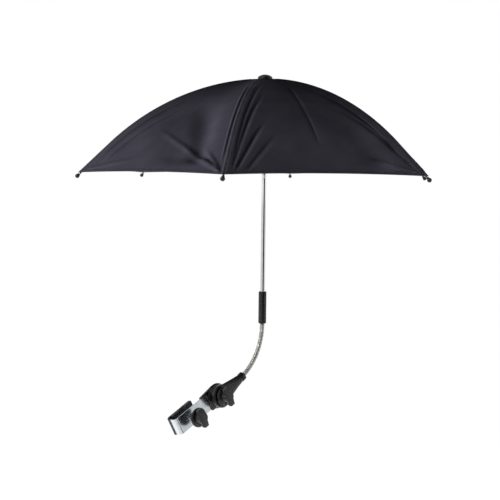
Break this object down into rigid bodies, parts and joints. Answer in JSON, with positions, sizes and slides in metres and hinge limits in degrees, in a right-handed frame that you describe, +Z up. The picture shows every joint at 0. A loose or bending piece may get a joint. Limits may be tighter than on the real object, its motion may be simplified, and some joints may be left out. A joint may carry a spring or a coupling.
{
  "type": "pram parasol",
  "caption": "Small folding parasol with a black cloth canopy on a plated shaft, a bendable ribbed neck, a toothed swivel and a screw clamp for a pram tube.",
  "frame": {"origin": "centre of the pram tube held in the clamp's jaw", "axes": "+Z up along the shaft, +X from the clamp towards the shaft in the neck's plane, -Y to the side on which the clamp's knobs stand"},
  "size_m": [0.5617, 0.6476, 0.601],
  "materials": {
    "cloth": "matte woven polyester",
    "black_plastic": "moulded satin",
    "rubber": "matte",
    "plated_strip": "bright zinc plate",
    "shaft_chrome": "bright plated",
    "neck_metal": "satin ribbed",
    "rib_steel": "satin"
  },
  "bodies": {
    "clamp": {"clamp_bracket": "plated_strip", "jaw_boot": "rubber", "press_nut": "plated_strip", "swivel_base": "black_plastic", "swivel_bolt": "plated_strip"},
    "clamp_pad": {"clamp_pad": "rubber"},
    "clamp_screw": {"clamp_screw": "plated_strip", "clamp_knob": "black_plastic"},
    "swivel_washer": {"swivel_washer": "plated_strip"},
    "swivel_knob": {"swivel_knob": "black_plastic"},
    "swivel_arm": {"neck_holder": "black_plastic"},
    "neck_1": {"neck_length_1": "neck_metal"},
    "neck_2": {"neck_length_2": "neck_metal"},
    "neck_3": {"neck_length_3": "neck_metal"},
    "neck_4": {"neck_length_4": "neck_metal"},
    "neck_5": {"neck_length_5": "neck_metal"},
    "neck_6": {"neck_length_6": "neck_metal"},
    "neck_7": {"neck_length_7": "neck_metal"},
    "neck_8": {"neck_length_8": "neck_metal"},
    "shaft": {"neck_end": "neck_metal", "shaft_sleeve": "black_plastic", "shaft_tube": "shaft_chrome", "catch_pin": "shaft_chrome", "crown_hub": "black_plastic", "crown_wire": "rib_steel", "top_cap": "black_plastic"},
    "catch": {"spring_catch": "rib_steel"},
    "runner": {"runner": "black_plastic", "runner_wire": "rib_steel"},
    "rib_1": {"rib_1": "rib_steel", "rib_tip_1": "black_plastic"},
    "stretcher_1": {"stretcher_1": "rib_steel"},
    "cloth_1_left": {"cloth_panel_1_left": "cloth"},
    "cloth_1_right": {"cloth_panel_1_right": "cloth"},
    "rib_2": {"rib_2": "rib_steel", "rib_tip_2": "black_plastic"},
    "stretcher_2": {"stretcher_2": "rib_steel"},
    "cloth_2_left": {"cloth_panel_2_left": "cloth"},
    "cloth_2_right": {"cloth_panel_2_right": "cloth"},
    "rib_3": {"rib_3": "rib_steel", "rib_tip_3": "black_plastic"},
    "stretcher_3": {"stretcher_3": "rib_steel"},
    "cloth_3_left": {"cloth_panel_3_left": "cloth"},
    "cloth_3_right": {"cloth_panel_3_right": "cloth"},
    "rib_4": {"rib_4": "rib_steel", "rib_tip_4": "black_plastic"},
    "stretcher_4": {"stretcher_4": "rib_steel"},
    "cloth_4_left": {"cloth_panel_4_left": "cloth"},
    "cloth_4_right": {"cloth_panel_4_right": "cloth"},
    "rib_5": {"rib_5": "rib_steel", "rib_tip_5": "black_plastic"},
    "stretcher_5": {"stretcher_5": "rib_steel"},
    "cloth_5_left": {"cloth_panel_5_left": "cloth"},
    "cloth_5_right": {"cloth_panel_5_right": "cloth"},
    "rib_6": {"rib_6": "rib_steel", "rib_tip_6": "black_plastic"},
    "stretcher_6": {"stretcher_6": "rib_steel"},
    "cloth_6_left": {"cloth_panel_6_left": "cloth"},
    "cloth_6_right": {"cloth_panel_6_right": "cloth"}
  },
  "joints": [
    {"name": "pad_slide", "type": "slide", "parent": "clamp", "child": "clamp_pad", "axis": [0.0802, 0.9848, -0.154], "range_m": [0, 0.005]},
    {"name": "clamp_screw_turn", "type": "hinge", "parent": "clamp_pad", "child": "clamp_screw", "pos_m": [0, 0, 0], "axis": [0.0802, 0.9848, -0.154], "range_deg": [0, 1800]},
    {"name": "washer_slide", "type": "slide", "parent": "clamp", "child": "swivel_washer", "axis": [-0.0802, -0.9848, 0.154], "range_m": [0, 0.002]},
    {"name": "swivel_knob_turn", "type": "hinge", "parent": "swivel_washer", "child": "swivel_knob", "pos_m": [0.05837, -0.00105, 0.02368], "axis": [-0.0802, -0.9848, 0.154], "range_deg": [0, 720]},
    {"name": "swivel_turn", "type": "hinge", "parent": "clamp", "child": "swivel_arm", "pos_m": [0.05837, -0.00105, 0.02368], "axis": [-0.0802, -0.9848, 0.154], "range_deg": [-70, 70]},
    {"name": "neck_bend_1", "type": "hinge", "parent": "swivel_arm", "child": "neck_1", "pos_m": [0.10613, -0.03, 0.0543], "axis": [0, -1, 0], "range_deg": [-9, 9]},
    {"name": "neck_lean_1", "type": "hinge", "parent": "neck_1", "child": "neck_2", "pos_m": [0.11706, -0.03, 0.06097], "axis": [-0.578, 0, 0.816], "range_deg": [-9, 9]},
    {"name": "neck_bend_2", "type": "hinge", "parent": "neck_2", "child": "neck_3", "pos_m": [0.12698, -0.03, 0.06907], "axis": [0, -1, 0], "range_deg": [-9, 9]},
    {"name": "neck_lean_2", "type": "hinge", "parent": "neck_3", "child": "neck_4", "pos_m": [0.13571, -0.03, 0.07844], "axis": [-0.7765, 0, 0.6302], "range_deg": [-9, 9]},
    {"name": "neck_bend_3", "type": "hinge", "parent": "neck_4", "child": "neck_5", "pos_m": [0.14309, -0.03, 0.08891], "axis": [0, -1, 0], "range_deg": [-9, 9]},
    {"name": "neck_lean_3", "type": "hinge", "parent": "neck_5", "child": "neck_6", "pos_m": [0.14897, -0.03, 0.10029], "axis": [-0.9175, 0, 0.3977], "range_deg": [-9, 9]},
    {"name": "neck_bend_4", "type": "hinge", "parent": "neck_6", "child": "neck_7", "pos_m": [0.15325, -0.03, 0.11236], "axis": [0, -1, 0], "range_deg": [-9, 9]},
    {"name": "neck_lean_4", "type": "hinge", "parent": "neck_7", "child": "neck_8", "pos_m": [0.15585, -0.03, 0.1249], "axis": [-0.9907, 0, 0.1359], "range_deg": [-9, 9]},
    {"name": "neck_bend_5", "type": "hinge", "parent": "neck_8", "child": "shaft", "pos_m": [0.15672, -0.03, 0.13768], "axis": [0, -1, 0], "range_deg": [-9, 9]},
    {"name": "catch_press", "type": "hinge", "parent": "shaft", "child": "catch", "pos_m": [0.15672, -0.03, 0.38958], "axis": [-0.6428, 0.766, 0], "range_deg": [0, 8], "stiffness_Nm_per_rad": 0.4, "springref_deg": -6.88},
    {"name": "runner_slide", "type": "slide", "parent": "shaft", "child": "runner", "axis": [0, 0, 1], "range_m": [-0.17246, 0], "deforming": ["cloth_panel_1_left", "cloth_panel_1_right", "cloth_panel_2_left", "cloth_panel_2_right", "cloth_panel_3_left", "cloth_panel_3_right", "cloth_panel_4_left", "cloth_panel_4_right", "cloth_panel_5_left", "cloth_panel_5_right", "cloth_panel_6_left", "cloth_panel_6_right", "spring_catch"]},
    {"name": "rib_hinge_1", "type": "hinge", "parent": "shaft", "child": "rib_1", "pos_m": [0.16365, -0.026, 0.56355], "axis": [-0.5, 0.866, 0], "range_deg": [0, 61.38]},
    {"name": "stretcher_hinge_1", "type": "hinge", "parent": "runner", "child": "stretcher_1", "pos_m": [0.16452, -0.0255, 0.42368], "axis": [0.5, -0.866, 0], "range_deg": [0, 43.68]},
    {"name": "cloth_fold_1_left", "type": "hinge", "parent": "rib_1", "child": "cloth_1_left", "pos_m": [0.16134, -0.022, 0.56355], "axis": [-0.1246, -0.9319, -0.3406], "range_deg": [0, 31.72]},
    {"name": "cloth_fold_1_right", "type": "hinge", "parent": "rib_1", "child": "cloth_1_right", "pos_m": [0.16596, -0.03, 0.56355], "axis": [0.8694, -0.358, 0.3406], "range_deg": [0, 31.72]},
    {"name": "rib_hinge_2", "type": "hinge", "parent": "shaft", "child": "rib_2", "pos_m": [0.15672, -0.022, 0.56355], "axis": [-1, 0, 0], "range_deg": [0, 61.38]},
    {"name": "stretcher_hinge_2", "type": "hinge", "parent": "runner", "child": "stretcher_2", "pos_m": [0.15672, -0.021, 0.42368], "axis": [1, 0, 0], "range_deg": [0, 43.68]},
    {"name": "cloth_fold_2_left", "type": "hinge", "parent": "rib_2", "child": "cloth_2_left", "pos_m": [0.15211, -0.022, 0.56355], "axis": [0.7447, -0.5739, -0.3406], "range_deg": [0, 31.72]},
    {"name": "cloth_fold_2_right", "type": "hinge", "parent": "rib_2", "child": "cloth_2_right", "pos_m": [0.16134, -0.022, 0.56355], "axis": [0.7447, 0.5739, 0.3406], "range_deg": [0, 31.72]},
    {"name": "rib_hinge_3", "type": "hinge", "parent": "shaft", "child": "rib_3", "pos_m": [0.1498, -0.026, 0.56355], "axis": [-0.5, -0.866, 0], "range_deg": [0, 61.38]},
    {"name": "stretcher_hinge_3", "type": "hinge", "parent": "runner", "child": "stretcher_3", "pos_m": [0.14893, -0.0255, 0.42368], "axis": [0.5, 0.866, 0], "range_deg": [0, 43.68]},
    {"name": "cloth_fold_3_left", "type": "hinge", "parent": "rib_3", "child": "cloth_3_left", "pos_m": [0.14749, -0.03, 0.56355], "axis": [0.8694, 0.358, -0.3406], "range_deg": [0, 31.72]},
    {"name": "cloth_fold_3_right", "type": "hinge", "parent": "rib_3", "child": "cloth_3_right", "pos_m": [0.15211, -0.022, 0.56355], "axis": [-0.1246, 0.9319, 0.3406], "range_deg": [0, 31.72]},
    {"name": "rib_hinge_4", "type": "hinge", "parent": "shaft", "child": "rib_4", "pos_m": [0.1498, -0.034, 0.56355], "axis": [0.5, -0.866, 0], "range_deg": [0, 61.38]},
    {"name": "stretcher_hinge_4", "type": "hinge", "parent": "runner", "child": "stretcher_4", "pos_m": [0.14893, -0.0345, 0.42368], "axis": [-0.5, 0.866, 0], "range_deg": [0, 43.68]},
    {"name": "cloth_fold_4_left", "type": "hinge", "parent": "rib_4", "child": "cloth_4_left", "pos_m": [0.15211, -0.038, 0.56355], "axis": [0.1246, 0.9319, -0.3406], "range_deg": [0, 31.72]},
    {"name": "cloth_fold_4_right", "type": "hinge", "parent": "rib_4", "child": "cloth_4_right", "pos_m": [0.14749, -0.03, 0.56355], "axis": [-0.8694, 0.358, 0.3406], "range_deg": [0, 31.72]},
    {"name": "rib_hinge_5", "type": "hinge", "parent": "shaft", "child": "rib_5", "pos_m": [0.15672, -0.038, 0.56355], "axis": [1, 0, 0], "range_deg": [0, 61.38]},
    {"name": "stretcher_hinge_5", "type": "hinge", "parent": "runner", "child": "stretcher_5", "pos_m": [0.15672, -0.039, 0.42368], "axis": [-1, 0, 0], "range_deg": [0, 43.68]},
    {"name": "cloth_fold_5_left", "type": "hinge", "parent": "rib_5", "child": "cloth_5_left", "pos_m": [0.16134, -0.038, 0.56355], "axis": [-0.7447, 0.5739, -0.3406], "range_deg": [0, 31.72]},
    {"name": "cloth_fold_5_right", "type": "hinge", "parent": "rib_5", "child": "cloth_5_right", "pos_m": [0.15211, -0.038, 0.56355], "axis": [-0.7447, -0.5739, 0.3406], "range_deg": [0, 31.72]},
    {"name": "rib_hinge_6", "type": "hinge", "parent": "shaft", "child": "rib_6", "pos_m": [0.16365, -0.034, 0.56355], "axis": [0.5, 0.866, 0], "range_deg": [0, 61.38]},
    {"name": "stretcher_hinge_6", "type": "hinge", "parent": "runner", "child": "stretcher_6", "pos_m": [0.16452, -0.0345, 0.42368], "axis": [-0.5, -0.866, 0], "range_deg": [0, 43.68]},
    {"name": "cloth_fold_6_left", "type": "hinge", "parent": "rib_6", "child": "cloth_6_left", "pos_m": [0.16596, -0.03, 0.56355], "axis": [-0.8694, -0.358, -0.3406], "range_deg": [0, 31.72]},
    {"name": "cloth_fold_6_right", "type": "hinge", "parent": "rib_6", "child": "cloth_6_right", "pos_m": [0.16134, -0.038, 0.56355], "axis": [0.1246, -0.9319, 0.3406], "range_deg": [0, 31.72]}
  ],
  "couplings": [
    {"joint": "pad_slide", "follows": "clamp_screw_turn", "m_per_rad": 0.00015915},
    {"joint": "washer_slide", "follows": "swivel_knob_turn", "m_per_rad": 0.00015915},
    {"joint": "neck_bend_2", "follows": "neck_bend_1", "ratio": 1},
    {"joint": "neck_bend_3", "follows": "neck_bend_1", "ratio": 1},
    {"joint": "neck_bend_4", "follows": "neck_bend_1", "ratio": 1},
    {"joint": "neck_bend_5", "follows": "neck_bend_1", "ratio": 1},
    {"joint": "neck_lean_2", "follows": "neck_lean_1", "ratio": 1},
    {"joint": "neck_lean_3", "follows": "neck_lean_1", "ratio": 1},
    {"joint": "neck_lean_4", "follows": "neck_lean_1", "ratio": 1},
    {"joint": "rib_hinge_1", "follows": "runner_slide", "rad_per_m": -6.2115},
    {"joint": "stretcher_hinge_1", "follows": "runner_slide", "rad_per_m": -4.4207},
    {"joint": "cloth_fold_1_left", "follows": "runner_slide", "rad_per_m": -3.2103},
    {"joint": "cloth_fold_1_right", "follows": "runner_slide", "rad_per_m": -3.2103},
    {"joint": "rib_hinge_2", "follows": "runner_slide", "rad_per_m": -6.2115},
    {"joint": "stretcher_hinge_2", "follows": "runner_slide", "rad_per_m": -4.4207},
    {"joint": "cloth_fold_2_left", "follows": "runner_slide", "rad_per_m": -3.2103},
    {"joint": "cloth_fold_2_right", "follows": "runner_slide", "rad_per_m": -3.2103},
    {"joint": "rib_hinge_3", "follows": "runner_slide", "rad_per_m": -6.2115},
    {"joint": "stretcher_hinge_3", "follows": "runner_slide", "rad_per_m": -4.4207},
    {"joint": "cloth_fold_3_left", "follows": "runner_slide", "rad_per_m": -3.2103},
    {"joint": "cloth_fold_3_right", "follows": "runner_slide", "rad_per_m": -3.2103},
    {"joint": "rib_hinge_4", "follows": "runner_slide", "rad_per_m": -6.2115},
    {"joint": "stretcher_hinge_4", "follows": "runner_slide", "rad_per_m": -4.4207},
    {"joint": "cloth_fold_4_left", "follows": "runner_slide", "rad_per_m": -3.2103},
    {"joint": "cloth_fold_4_right", "follows": "runner_slide", "rad_per_m": -3.2103},
    {"joint": "rib_hinge_5", "follows": "runner_slide", "rad_per_m": -6.2115},
    {"joint": "stretcher_hinge_5", "follows": "runner_slide", "rad_per_m": -4.4207},
    {"joint": "cloth_fold_5_left", "follows": "runner_slide", "rad_per_m": -3.2103},
    {"joint": "cloth_fold_5_right", "follows": "runner_slide", "rad_per_m": -3.2103},
    {"joint": "rib_hinge_6", "follows": "runner_slide", "rad_per_m": -6.2115},
    {"joint": "stretcher_hinge_6", "follows": "runner_slide", "rad_per_m": -4.4207},
    {"joint": "cloth_fold_6_left", "follows": "runner_slide", "rad_per_m": -3.2103},
    {"joint": "cloth_fold_6_right", "follows": "runner_slide", "rad_per_m": -3.2103}
  ]
}
